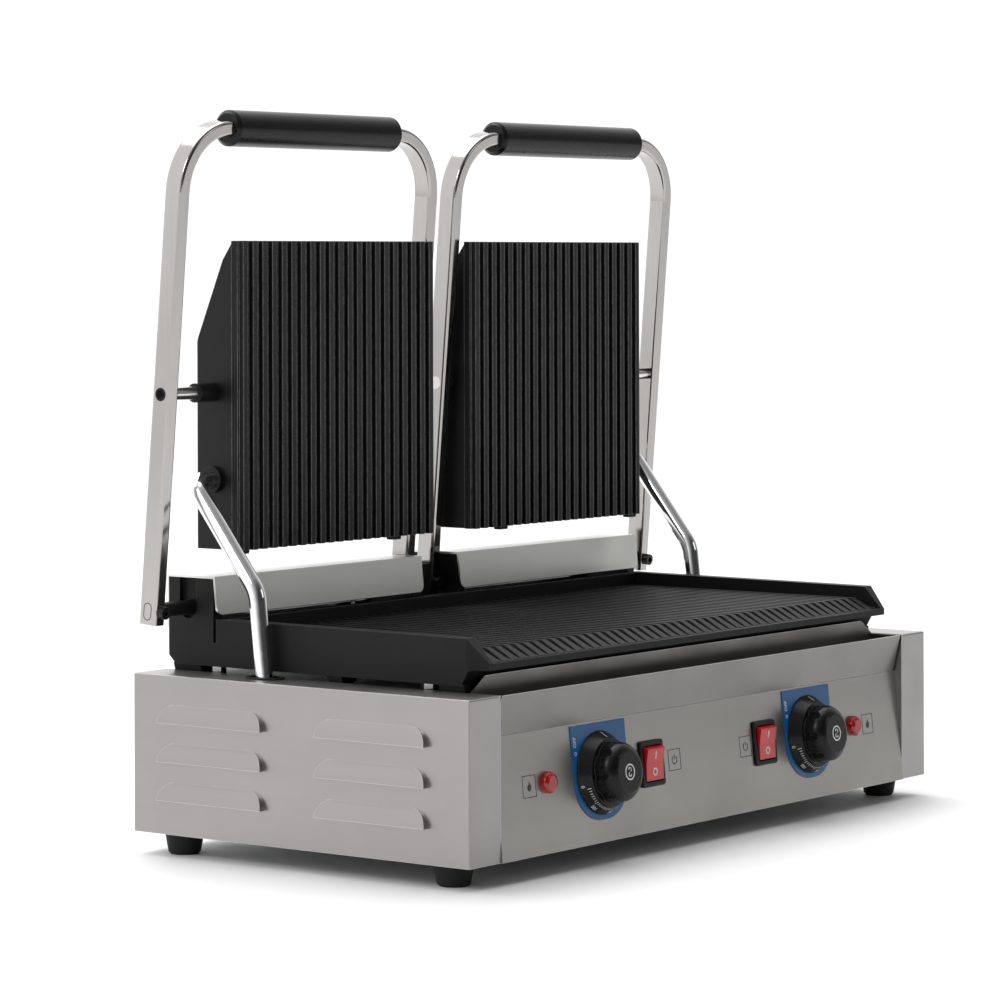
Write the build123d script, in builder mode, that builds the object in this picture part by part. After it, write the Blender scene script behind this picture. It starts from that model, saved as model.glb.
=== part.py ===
from build123d import *
from math import atan2, cos, degrees, hypot, radians, sin, tan
import os

# Twin contact grill: one wide ribbed griddle on a stainless housing, and two ribbed upper plates,
# each hung in its own handle. +X is the right seen from the front, +Y the back, +Z up, and the
# origin is on the table under the middle of the housing. All sizes are millimetres.
os.makedirs("parts", exist_ok=True)

# Housing
housing_width = 560
housing_depth = 286
housing_height = 107
foot_height = 15
sheet = 1.5
tray_sheet = 1.2
side_band = 33
bend = 1.2
slip = 0.2
front = -housing_depth / 2
back = housing_depth / 2
half_width = housing_width / 2
deck = foot_height + housing_height
side_inner = half_width - sheet
bay_half = half_width - side_band
return_depth = 15
deck_plate_top = deck - sheet
deck_front = -112
pan_bottom = foot_height + sheet

# Control panel, leaning out towards the bottom
panel_recess = 6.5
panel_drop = 27
panel_lean = 5.75
control_drop = 61.6
controls_centre = -5
lamp_offset = 188
knob_offset = 128
switch_offset = 69.5

# Louvres in the side covers
louvre_length = 91
louvre_height = 12.5
louvre_depth = 4.6
louvre_wall = 1.2
louvre_columns = (73, -64)
louvre_drops = (32, 58, 84)

# Griddle casting; heights are above the deck
griddle_overhang = 1
griddle_half = bay_half + griddle_overhang
griddle_back = 139.5
griddle_wall = 9.5
wall_front = -116
wall_rise = 36
lip_front = -131
lip_bottom = 14.6
lip_top = 19
lip_setback = 5.5
well_back = 90
groove_rise = 22
slope_start = -112
rib_end = -127
rib_height = 5
rib_pitch = 10.2
rib_top_width = 4.6
rib_flare = 0.17
underside = 4
pocket_rise = 13
rear_floor = 20
leg_drop = underside + sheet
ear_thickness = 9
ear_front = 99.5
ear_inner = 22
ear_rise = 63.2
recess_width = 15
recess_depth = 4
post_half = 6.5
well_half = griddle_half - griddle_wall
griddle_ribs = int(2 * well_half / rib_pitch)
post_rise = 57

# Hinge and arms
hinge_y = 122
hinge_rise = 43
shaft_diameter = 10
running_gap = 0.05
arm_lean = 4.8
arm_clearance = 16
arm_inner = 15
arm_deep = 15
arm_thick = 10
arm_wall = 1.5
arm_tail = 9
arm_length = 326.5
arm_bend = 44
arm_corner = 2.2
grip_length = 178
grip_diameter = 25
grip_chamfer = 2.5
pivot_radius = 146.5

# Upper plates
plate_inner = 23
plate_gap = 2.5
plate_width = well_half - plate_gap - plate_inner
plate_face_y = 84
plate_rise = 82
plate_height = 210
plate_thick = 9
plate_ribs = int((plate_width - rib_top_width) / rib_pitch) + 1
plate_rib_height = 3.5
cover_back_y = 126
cover_inset = 1
cover_step_y = 101.5
cover_step_drop = 13
cover_slope_drop = 71
pin_diameter = 9
collar_diameter = 13
collar_length = 20

# Cable tubes
tube_clearance = 3
tube_diameter = 12
tube_plane = griddle_half + tube_clearance + tube_diameter / 2
arm_outer = tube_plane + tube_diameter / 2 + arm_clearance + arm_thick / 2
tube_bore = 9.6
gland_y = 109.7
gland_rise = 129.6
tube_bend_y = 52.7
tube_bend_rise = 57.5
tube_deck_y = 46.3
tube_tail = 66
tube_bend_radius = 25
elbow_radius = 12
slot_low = 34
slot_high = 57.5
slot_width = 14

# Controls
knob_diameter = 40
skirt_diameter = 55.5
knob_reach = 24
skirt_height = 8
knob_gap = 0.6
spindle_diameter = 6
dial_plate_width = 62
dial_plate_height = 64
dial_plate_sheet = 0.6
bezel_width = 27
bezel_height = 31
bezel_proud = 2.2
bezel_rim = 3.2
rocker_gap = 0.4
switch_depth = 24
lamp_diameter = 14.5
lamp_hole = 10

# Heating
element_diameter = 7
element_clearance = 0.1
shield_thick = 1

# Feet and fastenings
foot_inset_x = 20
foot_inset_y = 28
foot_x = half_width - foot_inset_x
foot_y = back - foot_inset_y
foot_top = 27
foot_bottom = 22
bolt_diameter = 6
screw_diameter = 5


def slab(x0, x1, y0, y1, z0, z1, mode=Mode.ADD):
    """Adds or cuts an upright block between two corners."""
    with Locations(((x0 + x1) / 2, (y0 + y1) / 2, (z0 + z1) / 2)):
        Box(abs(x1 - x0), abs(y1 - y0), abs(z1 - z0), mode=mode)


def rod(x0, x1, y, z, diameter, mode=Mode.ADD):
    """Adds or cuts a round bar that lies along X."""
    with Locations(Location(((x0 + x1) / 2, y, z), (0, 90, 0))):
        Cylinder(diameter / 2, abs(x1 - x0), mode=mode)


def post(x, y, z0, z1, diameter, mode=Mode.ADD):
    """Adds or cuts an upright round bar."""
    with Locations((x, y, (z0 + z1) / 2)):
        Cylinder(diameter / 2, z1 - z0, mode=mode)


def bar(x0, x1, *points, mode=Mode.ADD):
    """Adds or cuts a bar along X whose end is a closed outline of (y, z) points."""
    with BuildSketch(Plane.YZ.offset(min(x0, x1))) as outline:
        with BuildLine():
            Polyline(*points, close=True)
        make_face()
    extrude(outline.sketch, amount=abs(x1 - x0), mode=mode)


# Side covers: folded boxes, open inwards, with six pressed louvres and a slot for the cable tube
with BuildPart() as louvre_hood:
    with BuildSketch(Plane.XZ):
        with BuildLine():
            ThreePointArc((0, louvre_height), (-0.62 * louvre_depth, 0.56 * louvre_height), (-louvre_depth, 0))
            Line((-louvre_depth, 0), (sheet / 2, 0))
            Line((sheet / 2, 0), (sheet / 2, louvre_height))
            Line((sheet / 2, louvre_height), (0, louvre_height))
        make_face()
    extrude(amount=louvre_length / 2, both=True)
    with BuildSketch(Plane.YZ.offset(-2 * louvre_depth)):
        SlotOverall(louvre_length, 2 * louvre_height)
    extrude(amount=3 * louvre_depth, mode=Mode.INTERSECT)

with BuildPart() as louvre_mouth:
    mouth_depth = louvre_depth - louvre_wall
    mouth_height = louvre_height - louvre_wall
    with BuildSketch(Plane.XZ):
        with BuildLine():
            ThreePointArc((sheet, mouth_height), (-0.55 * mouth_depth, 0.56 * mouth_height), (-mouth_depth, 0))
            Line((-mouth_depth, 0), (-mouth_depth, -slip))
            Line((-mouth_depth, -slip), (2 * sheet, -slip))
            Line((2 * sheet, -slip), (2 * sheet, mouth_height))
            Line((2 * sheet, mouth_height), (sheet, mouth_height))
        make_face()
    extrude(amount=louvre_length / 2 - louvre_wall, both=True)
    with BuildSketch(Plane.YZ.offset(-2 * louvre_depth)):
        SlotOverall(louvre_length - 2 * louvre_wall, 2 * mouth_height)
    extrude(amount=4 * louvre_depth, mode=Mode.INTERSECT)

louvre_places = [(-half_width, y, deck - drop) for y in louvre_columns for drop in louvre_drops]
slot_middle = (slot_low + slot_high) / 2
slot_length = slot_high - slot_low

with BuildPart() as side_cover_left:
    slab(-half_width, -bay_half, front, back, foot_height, deck)
    fillet(side_cover_left.edges().filter_by(Axis.Z).group_by(Axis.X)[0], bend)
    fillet(side_cover_left.edges().filter_by(Axis.Y).sort_by(Axis.X).sort_by(Axis.Z)[-2:].group_by(Axis.X)[0], bend)
    slab(-side_inner, -bay_half + sheet, front + sheet, back - sheet, pan_bottom, deck_plate_top,
         mode=Mode.SUBTRACT)
    slab(-bay_half - sheet, -bay_half, front, front + return_depth, foot_height, deck)
    for place in louvre_places:
        with Locations(place):
            add(louvre_hood.part)
    for place in louvre_places:
        with Locations(place):
            add(louvre_mouth.part, mode=Mode.SUBTRACT)
    with BuildSketch(Plane.XY.offset(deck)):
        with Locations((-tube_plane, slot_middle)):
            SlotOverall(slot_length, slot_width, rotation=90)
    extrude(amount=-2 * sheet, mode=Mode.SUBTRACT)

# Base pan on the side covers' lower flanges, with rows of air slots
with BuildPart() as base_pan:
    slab(-side_inner, side_inner, front + return_depth, back - sheet, pan_bottom, pan_bottom + sheet)
    with BuildSketch(Plane.XY.offset(pan_bottom)):
        with GridLocations(60, 70, 6, 2):
            SlotOverall(40, 6)
    extrude(amount=sheet, mode=Mode.SUBTRACT)

# Back panel with air slots and the hole for the mains cable gland
gland_x = bay_half - 57
cable_gland_z = foot_height + 38
cable_hole = 16
gland_dome = 17.9
with BuildPart() as back_panel:
    slab(-side_inner, side_inner, back - 2 * sheet, back - sheet, pan_bottom + sheet, deck_plate_top - sheet)
    with BuildSketch(Plane.XZ.offset(-back)):
        with Locations((0, deck - control_drop + 8)):
            with GridLocations(70, 14, 5, 3):
                SlotOverall(50, 5)
        with Locations((gland_x, cable_gland_z)):
            Circle(cable_hole / 2 + slip)
    extrude(amount=3 * sheet, mode=Mode.SUBTRACT)

# Deck under the griddle, with a folded front edge that closes the tray well
bolt_x = griddle_half - 8
bolt_back_y = 102
bolt_front_y = -80
bolt_places = [(x, y) for x in (-bolt_x, bolt_x) for y in (bolt_front_y, bolt_back_y)]
with BuildPart() as deck_plate:
    slab(-side_inner, side_inner, deck_front, back - sheet, deck_plate_top - sheet, deck_plate_top)
    slab(-bay_half, bay_half, deck_front, deck_front + sheet, deck - panel_drop - sheet, deck_plate_top)
    with BuildSketch(Plane.XY.offset(deck_plate_top)):
        for side in (-1, 1):
            with Locations((side * tube_plane, slot_middle)):
                SlotOverall(slot_length, slot_width, rotation=90)
        with Locations(*bolt_places):
            Circle(bolt_diameter / 2 + slip)
        with Locations((-90, 60), (90, 60)):
            Circle(9)
    extrude(amount=-2 * sheet, mode=Mode.SUBTRACT)

# Control panel: leaning face, a ledge above that carries the drip tray, and a lower return
lean_cos = cos(radians(panel_lean))
lean_sin = sin(radians(panel_lean))
panel_top_y = front + panel_recess
panel_top_z = deck - panel_drop
control_z = deck - control_drop
control_y = panel_top_y - (panel_top_z - control_z) * tan(radians(panel_lean))
panel_plane = Plane(origin=(0, control_y, control_z), x_dir=(1, 0, 0), z_dir=(0, -lean_cos, lean_sin))
panel_up = (panel_top_z - control_z) / lean_cos
panel_down = (control_z - foot_height) / lean_cos
panel_half = bay_half - slip
panel_foot_y = panel_top_y - (panel_top_z - foot_height) * tan(radians(panel_lean))
lamp_places = [controls_centre - lamp_offset, controls_centre + lamp_offset]
knob_places = [controls_centre - knob_offset, controls_centre + knob_offset]
switch_places = [controls_centre - switch_offset, controls_centre + switch_offset]
opening_width = bezel_width - 2 * bezel_rim
opening_height = bezel_height - 2 * bezel_rim
switch_neck = 1.2
with BuildPart() as front_panel:
    bar(
        -panel_half,
        panel_half,
        (panel_top_y, panel_top_z),
        (deck_front, panel_top_z),
        (deck_front, panel_top_z - sheet),
        (panel_top_y + 2 * sheet, panel_top_z - sheet),
        (panel_foot_y + 2 * sheet, pan_bottom),
        (front + return_depth, pan_bottom),
        (front + return_depth, foot_height),
        (panel_foot_y, foot_height),
    )
    with BuildSketch(panel_plane):
        for x in switch_places:
            with Locations((x, 0)):
                Rectangle(opening_width + 2 * switch_neck, opening_height + 2 * switch_neck)
        for x in knob_places:
            with Locations((x, 0)):
                Circle(spindle_diameter / 2 + 2)
        for x in lamp_places:
            with Locations((x, 0)):
                Circle(lamp_hole / 2)
    extrude(amount=-4 * sheet, mode=Mode.SUBTRACT)

# Drip tray: a narrow trough under the griddle lip, with a leaning front and a raised back wall
tray_half = bay_half - 1.7
tray_gap = 0.35
tray_floor = panel_top_z + tray_gap
tray_back_y = -117
tray_back_rise = 10
tray_clip = 15
tray_top = deck - slip
with BuildPart() as drip_tray:
    bar(
        -tray_half,
        tray_half,
        (front, tray_top),
        (front + tray_sheet, tray_top),
        (panel_top_y + tray_sheet, tray_floor + tray_sheet),
        (tray_back_y - tray_sheet, tray_floor + tray_sheet),
        (tray_back_y - tray_sheet, deck + tray_back_rise),
        (tray_back_y, deck + tray_back_rise),
        (tray_back_y, tray_floor),
        (panel_top_y, tray_floor),
    )
    for side in (-1, 1):
        bar(
            side * tray_half,
            side * (tray_half - tray_sheet),
            (front + tray_sheet / 2, tray_top),
            (tray_back_y - tray_sheet / 2, tray_top),
            (tray_back_y - tray_sheet / 2, tray_floor),
            (panel_top_y + tray_sheet / 2, tray_floor),
        )
    with BuildSketch(Plane.XZ.offset(-tray_back_y)):
        for side in (-1, 1):
            with BuildLine():
                Polyline(
                    (side * tray_half, deck),
                    (side * (tray_half - tray_clip), deck + tray_back_rise),
                    (side * tray_half, deck + tray_back_rise),
                    close=True,
                )
            make_face()
    extrude(amount=2 * tray_sheet, both=True, mode=Mode.SUBTRACT)

# Feet: tapered round rubber feet under the corners
foot_names = {
    "foot_front_left": (-foot_x, -foot_y),
    "foot_front_right": (foot_x, -foot_y),
    "foot_back_left": (-foot_x, foot_y),
    "foot_back_right": (foot_x, foot_y),
}
feet = {}
for foot_name, (x, y) in foot_names.items():
    with BuildPart() as foot:
        with BuildSketch(Plane.XZ.offset(-y)):
            with BuildLine():
                Polyline(
                    (x, 0),
                    (x + foot_bottom / 2 - 1.5, 0),
                    (x + foot_bottom / 2, 1.5),
                    (x + foot_top / 2, foot_height),
                    (x, foot_height),
                    close=True,
                )
            make_face()
        revolve(axis=Axis((x, y, 0), (0, 0, 1)))
        post(x, y, 0, 3, 8, mode=Mode.SUBTRACT)
    feet[foot_name] = foot

# Griddle casting: side walls, ribbed cooking well, serrated lip, hinge ears and legs
with BuildPart() as griddle_comb:
    rib_top_z = deck + groove_rise + rib_height
    rib_base_z = deck + lip_bottom + 2
    rib_base_half = rib_top_width / 2 + rib_flare * (rib_top_z - rib_base_z)
    with BuildSketch(Plane.XZ.offset(-well_back - 1)):
        with GridLocations(rib_pitch, 1, griddle_ribs, 1):
            Polygon(
                (-rib_base_half, rib_base_z),
                (rib_base_half, rib_base_z),
                (rib_top_width / 2, rib_top_z),
                (-rib_top_width / 2, rib_top_z),
                align=None,
            )
    extrude(amount=well_back + 1 - rib_end)
    bar(
        -griddle_half,
        griddle_half,
        (rib_end, rib_base_z),
        (rib_end, deck + lip_top + 0.3),
        (slope_start, rib_top_z),
        (well_back + 1, rib_top_z),
        (well_back + 1, rib_base_z),
        mode=Mode.INTERSECT,
    )

ear_edges = [
    (-griddle_half, -griddle_half + ear_thickness),
    (-ear_inner - ear_thickness, -ear_inner),
    (ear_inner, ear_inner + ear_thickness),
    (griddle_half - ear_thickness, griddle_half),
]
hinge_z = deck + hinge_rise
with BuildPart() as lower_griddle:
    bar(
        -griddle_half,
        griddle_half,
        (lip_front, deck + lip_bottom),
        (lip_front, deck + lip_top),
        (wall_front, deck + wall_rise - 1),
        (well_back + 7, deck + wall_rise),
        (well_back + 7, deck + rear_floor),
        (griddle_back, deck + rear_floor),
        (griddle_back, deck + underside + 6),
        (griddle_back - 6, deck + underside),
        (slope_start, deck + underside),
        (slope_start - 6, deck + lip_bottom),
    )
    bar(
        -well_half,
        well_half,
        (lip_front - 1, deck + lip_top),
        (rib_end, deck + lip_top),
        (slope_start, deck + groove_rise),
        (well_back, deck + groove_rise),
        (well_back, deck + wall_rise + 1),
        (lip_front - 1, deck + wall_rise + 1),
        mode=Mode.SUBTRACT,
    )
    for side in (-1, 1):
        slab(side * (ear_inner - 14), side * (well_half - 3), slope_start + 8, well_back - 6,
             deck + underside, deck + pocket_rise, mode=Mode.SUBTRACT)
        slab(side * (ear_inner + 12), side * (well_half - 3), well_back + 12, griddle_back - 4,
             deck + underside, deck + pocket_rise, mode=Mode.SUBTRACT)
        with BuildSketch(Plane.XY.offset(deck)):
            with BuildLine():
                Polyline(
                    (side * griddle_half, wall_front),
                    (side * (griddle_half - lip_setback), lip_front),
                    (side * (griddle_half + 1), lip_front - 1),
                    (side * (griddle_half + 1), wall_front),
                    close=True,
                )
            make_face()
        extrude(amount=wall_rise + 1, mode=Mode.SUBTRACT)
    add(griddle_comb.part)
    for low, high in ear_edges:
        slab(low, high, ear_front, griddle_back, deck + rear_floor - 2, deck + ear_rise)
    slab(-post_half, post_half, hinge_y - 10, hinge_y + 10, deck + rear_floor - 2, deck + post_rise)
    for side in (-1, 1):
        outer = side * griddle_half
        slab(outer, outer - side * recess_depth, hinge_y - recess_width / 2, hinge_y + recess_width / 2,
             hinge_z, deck + ear_rise, mode=Mode.SUBTRACT)
        rod(outer, outer - side * recess_depth, hinge_y, hinge_z, recess_width, mode=Mode.SUBTRACT)
        rod(outer, side * arm_inner, hinge_y, hinge_z, shaft_diameter + 2 * running_gap, mode=Mode.SUBTRACT)
        for y0, y1 in ((griddle_back - 28, griddle_back - 4), (-12, 0), (-114, -94)):
            with BuildSketch(Plane.XZ.offset(-y1)):
                with BuildLine():
                    Polyline(
                        (outer, deck + underside + 1),
                        (outer - side * 24, deck + underside + 1),
                        (outer - side * 12, deck - sheet),
                        (outer - side * 2, deck - sheet),
                        close=True,
                    )
                make_face()
            extrude(amount=y1 - y0)
    for x, y in bolt_places:
        post(x, y, deck + underside - 1, deck + underside + 8, bolt_diameter + 2 * running_gap,
             mode=Mode.SUBTRACT)

# Bolts that hold the griddle to the deck, each with a hexagonal standoff between the two
with BuildPart() as griddle_bolts:
    for x, y in bolt_places:
        post(x, y, deck_plate_top - sheet - 3, deck + underside + 7, bolt_diameter)
        with BuildSketch(Plane.XY.offset(deck_plate_top)):
            with Locations((x, y)):
                RegularPolygon(bolt_diameter * 0.95, 6)
        extrude(amount=underside + sheet)
        with BuildSketch(Plane.XY.offset(deck_plate_top - sheet)):
            with Locations((x, y)):
                RegularPolygon(bolt_diameter, 6)
        extrude(amount=-4)

# Heating elements: bent rods against the underside of the casting, over a thin shield
pass_pitch = 38
element_front = -88
element_back = 68
element_x = (ear_inner + well_half) / 2


def element_path(centre, plane):
    """A four-pass rod in the plane's x and y, with half-round turns."""
    xs = [centre + pass_pitch * (i - 1.5) for i in range(4)]
    points = []
    for i, x in enumerate(xs):
        ends = (element_front, element_back) if i % 2 == 0 else (element_back, element_front)
        points += [(x, ends[0]), (x, ends[1])]
    with BuildLine(plane) as path:
        FilletPolyline(*points, radius=pass_pitch / 2 - 0.5)
    return path.line


element_z = deck + pocket_rise - element_diameter / 2 - element_clearance
elements = {}
for side_name, side in (("left", -1), ("right", 1)):
    path = element_path(side * element_x, Plane.XY.offset(element_z))
    with BuildPart() as element:
        with BuildSketch(Plane(origin=path @ 0, z_dir=path % 0)):
            Circle(element_diameter / 2)
        sweep(path=path)
    elements[side_name] = element

shield_z = element_z - element_diameter / 2 - element_clearance - shield_thick
with BuildPart() as element_shield:
    for side in (-1, 1):
        slab(side * (ear_inner - 13.5), side * (well_half - 17), slope_start + 8.5, well_back - 6.5,
             shield_z, shield_z + shield_thick)
        for x in (ear_inner + 10, well_half - 30):
            post(side * x, 0, shield_z, deck + pocket_rise, screw_diameter)

# Hinge covers: folded steel caps over the ears
cover_front = ear_front - sheet
cover_top = deck + ear_rise + sheet
cover_lean = 2.5
cover_face_drop = 25.7
with BuildPart() as hinge_cover_left:
    bar(
        -griddle_half,
        -ear_inner,
        (cover_front - cover_lean, cover_top - cover_face_drop),
        (cover_front, cover_top),
        (griddle_back + sheet, cover_top),
        (griddle_back + sheet, cover_top - 1.4 * cover_face_drop),
        (griddle_back, cover_top - 1.4 * cover_face_drop),
        (griddle_back, cover_top - sheet),
        (cover_front + sheet, cover_top - sheet),
        (cover_front + sheet - cover_lean, cover_top - cover_face_drop),
    )
    corner = hinge_cover_left.edges().filter_by(Axis.Y, tolerance=5).sort_by(Axis.Z)[:4]
    fillet(corner.filter_by(lambda e: e.center().Y < 0.5 * (ear_front + griddle_back)), 5)

# Counterbalance springs wound on the hinge shafts, each resting on the casting behind the well
spring_start = ear_inner + ear_thickness + 29
spring_end = griddle_half - ear_thickness - 49
spring_outer = shaft_diameter + 7
spring_inner = shaft_diameter + 2
springs = {}
for side_name, side in (("left", -1), ("right", 1)):
    with BuildPart() as spring:
        rod(side * spring_start, side * spring_end, hinge_y, hinge_z, spring_outer)
        slab(side * spring_start, side * (spring_start + 2.5), hinge_y + 5, hinge_y + spring_outer / 2,
             deck + rear_floor, hinge_z)
        rod(side * spring_start, side * spring_end, hinge_y, hinge_z, spring_inner,
            mode=Mode.SUBTRACT)
    springs[side_name] = spring

# Everything on the arms is drawn in a plane that leans with them: x across, y up the arm
lean = radians(arm_lean)
arm_face = Plane(
    origin=(0, hinge_y, hinge_z),
    x_dir=(1, 0, 0),
    z_dir=(0, -cos(lean), -sin(lean)),
)
outer_x = -arm_outer
inner_x = -arm_inner
screw_head = 8.5
screw_head_height = 5

with BuildPart() as handle_left:
    with BuildLine(arm_face) as handle_path:
        FilletPolyline(
            (outer_x, -arm_tail),
            (outer_x, arm_length),
            (inner_x, arm_length),
            (inner_x, -arm_tail),
            radius=arm_bend,
        )
    for trim, mode in ((0, Mode.ADD), (2 * arm_wall, Mode.SUBTRACT)):
        with BuildSketch(Plane(origin=handle_path.line @ 0, x_dir=(1, 0, 0), z_dir=handle_path.line % 0)):
            RectangleRounded(arm_thick - trim, arm_deep - trim, arm_corner - trim / 4)
        sweep(path=handle_path.line, mode=mode)
    for x in (outer_x, inner_x):
        with BuildSketch(Plane(origin=arm_face.from_local_coords((x, -arm_tail, 0)), x_dir=(1, 0, 0),
                               z_dir=arm_face.y_dir)):
            RectangleRounded(arm_thick, arm_deep, arm_corner)
        extrude(amount=arm_wall)
    for x, away in ((outer_x, -1), (inner_x, 1)):
        rod(x + away * (arm_thick / 2 - arm_wall), x - away * arm_thick, hinge_y, hinge_z,
            shaft_diameter + 2 * running_gap, mode=Mode.SUBTRACT)
    pivot = arm_face.from_local_coords((0, pivot_radius, 0))
    for x in (outer_x, inner_x):
        rod(x - arm_thick, x + arm_thick, pivot.Y, pivot.Z, pin_diameter + 2 * running_gap, mode=Mode.SUBTRACT)
        with BuildSketch(arm_face.offset(arm_deep)):
            with Locations((x, 0)):
                Circle(screw_diameter / 2 + running_gap)
        extrude(amount=-arm_deep, mode=Mode.SUBTRACT)

# Grips: round sleeves on the handles' cross bars, with bevelled ends
grip_centre = -(arm_outer + arm_inner) / 2
with BuildPart() as grip_left:
    grip_plane = Plane(
        origin=arm_face.from_local_coords((grip_centre - grip_length / 2, arm_length, 0)),
        x_dir=arm_face.y_dir,
        z_dir=(1, 0, 0),
    )
    with BuildSketch(grip_plane):
        Circle(grip_diameter / 2)
    extrude(amount=grip_length)
    chamfer(grip_left.edges().filter_by(GeomType.CIRCLE), grip_chamfer)
    with BuildSketch(grip_plane):
        RectangleRounded(arm_thick + 2 * running_gap, arm_deep + 2 * running_gap, arm_corner + running_gap)
    extrude(amount=grip_length, mode=Mode.SUBTRACT)

# Hinge shafts: they join the two legs of a handle through the ears
shaft_end = arm_thick / 2 - arm_wall - slip
with BuildPart() as hinge_shaft_left:
    rod(outer_x - shaft_end, inner_x + shaft_end, hinge_y, hinge_z, shaft_diameter)
    with BuildSketch(arm_face.offset(arm_deep)):
        with Locations((outer_x, 0), (inner_x, 0)):
            Circle(screw_diameter / 2 + running_gap)
    extrude(amount=-arm_deep, mode=Mode.SUBTRACT)

# Socket cap screws that lock the handles on the shafts
with BuildPart() as clamp_screws_left:
    for x in (outer_x, inner_x):
        with BuildSketch(arm_face.offset(slip)):
            with Locations((x, 0)):
                Circle(screw_diameter / 2)
        extrude(amount=arm_deep / 2 - slip + screw_head_height / 2)
        with BuildSketch(arm_face.offset(arm_deep / 2 + 0.02)):
            with Locations((x, 0)):
                Circle(screw_head / 2)
        extrude(amount=screw_head_height)
        with BuildSketch(arm_face.offset(arm_deep / 2 + screw_head_height + 0.02)):
            with Locations((x, 0)):
                RegularPolygon(2.3, 6)
        extrude(amount=-3, mode=Mode.SUBTRACT)

# Plate pins: they carry the upper plate at mid height, one in each leg of the handle
plate_outer = plate_inner + plate_width
pin_bite = 14
with BuildPart() as plate_pins_left:
    rod(outer_x - arm_thick / 2, -plate_outer + pin_bite, pivot.Y, pivot.Z, pin_diameter)
    rod(inner_x + arm_thick / 2, -plate_inner - pin_bite, pivot.Y, pivot.Z, pin_diameter)
    rod(outer_x - arm_thick / 2, outer_x, pivot.Y, pivot.Z, pin_diameter - 2, mode=Mode.SUBTRACT)

# Upper plates: ribbed castings that hang face forward
plate_bottom = deck + plate_rise
plate_top = plate_bottom + plate_height
plate_back_y = plate_face_y + plate_thick
plate_centre = -(plate_inner + plate_outer) / 2
plate_rib_base = rib_top_width / 2 + rib_flare * plate_rib_height
with BuildPart() as upper_plate_left:
    slab(-plate_outer, -plate_inner, plate_face_y + plate_rib_height, plate_back_y, plate_bottom, plate_top)
    with BuildSketch(Plane.XY.offset(plate_bottom)):
        with Locations((plate_centre, 0)):
            with GridLocations(rib_pitch, 1, plate_ribs, 1):
                Polygon(
                    (-plate_rib_base, plate_face_y + plate_rib_height + 0.5),
                    (-rib_top_width / 2, plate_face_y),
                    (rib_top_width / 2, plate_face_y),
                    (plate_rib_base, plate_face_y + plate_rib_height + 0.5),
                    align=None,
                )
    extrude(amount=plate_height)
    for x in (-plate_outer + 7, -plate_outer + 0.81 * plate_width):
        with BuildSketch(Plane.XZ.offset(-plate_back_y)):
            with Locations((x, plate_bottom)):
                Circle(5)
        extrude(amount=plate_thick - plate_rib_height)
    slab(-plate_outer, -plate_inner, plate_face_y, plate_back_y, plate_bottom - 6, plate_bottom - 2.5,
         mode=Mode.SUBTRACT)

# Upper covers: boxes that close the back of the plates over the elements
cover_low = plate_bottom + slip
with BuildPart() as upper_cover_left:
    bar(
        -plate_outer + cover_inset,
        -plate_inner - cover_inset,
        (plate_back_y, cover_low),
        (cover_back_y, cover_low),
        (cover_back_y, plate_top - cover_slope_drop),
        (cover_step_y, plate_top - cover_step_drop),
        (plate_back_y, plate_top - cover_inset),
    )
    fillet(upper_cover_left.edges().group_by(Axis.Y)[-1], 2.5)
    bar(
        -plate_outer + cover_inset + sheet,
        -plate_inner - cover_inset - sheet,
        (plate_back_y - 1, cover_low + sheet),
        (cover_back_y - sheet, cover_low + sheet),
        (cover_back_y - sheet, plate_top - cover_slope_drop - sheet / 2),
        (cover_step_y - sheet / 2, plate_top - cover_step_drop - sheet),
        (plate_back_y - 1, plate_top - cover_inset - sheet - 1),
        mode=Mode.SUBTRACT,
    )
    neck = collar_diameter - 2
    rod(-plate_outer - 5, -plate_inner + 5, pivot.Y, pivot.Z, neck + 2 * running_gap, mode=Mode.SUBTRACT)
    rod(-plate_outer - 5, -plate_outer + 10, gland_y, deck + gland_rise, tube_diameter + 4 + 2 * running_gap,
        mode=Mode.SUBTRACT)

# Elements of the upper plates
upper_element_y = plate_back_y + element_diameter / 2 + element_clearance
upper_plane = Plane(origin=(0, upper_element_y, plate_bottom + plate_height / 2), x_dir=(1, 0, 0), z_dir=(0, -1, 0))
upper_path = element_path(plate_centre, upper_plane)
with BuildPart() as upper_element_left:
    with BuildSketch(Plane(origin=upper_path @ 0, z_dir=upper_path % 0)):
        Circle(element_diameter / 2)
    sweep(path=upper_path)

# Collars of the plate pins: bushes through the cover's cheeks
cheek_outer = -plate_outer + cover_inset
cheek_inner = -plate_inner - cover_inset
with BuildPart() as plate_bushes_left:
    rod(cheek_outer - collar_length, cheek_outer, pivot.Y, pivot.Z, collar_diameter)
    rod(cheek_outer, cheek_outer + pin_bite, pivot.Y, pivot.Z, neck)
    rod(cheek_inner, cheek_inner + 2, pivot.Y, pivot.Z, collar_diameter)
    rod(cheek_inner, cheek_inner - pin_bite, pivot.Y, pivot.Z, neck)
    rod(-arm_outer, 0, pivot.Y, pivot.Z, pin_diameter + 2 * running_gap, mode=Mode.SUBTRACT)

# Glands where the cable tubes enter the covers
gland_z = deck + gland_rise
gland_flange = 18
gland_flange_length = 4
tube_end = cheek_outer + 6
with BuildPart() as tube_gland_left:
    rod(cheek_outer - gland_flange_length, cheek_outer, gland_y, gland_z, gland_flange)
    rod(cheek_outer, tube_end + 1, gland_y, gland_z, tube_diameter + 4)
    rod(cheek_outer - gland_flange_length, tube_end + 1, gland_y, gland_z, tube_diameter + 2 * running_gap,
        mode=Mode.SUBTRACT)

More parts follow.
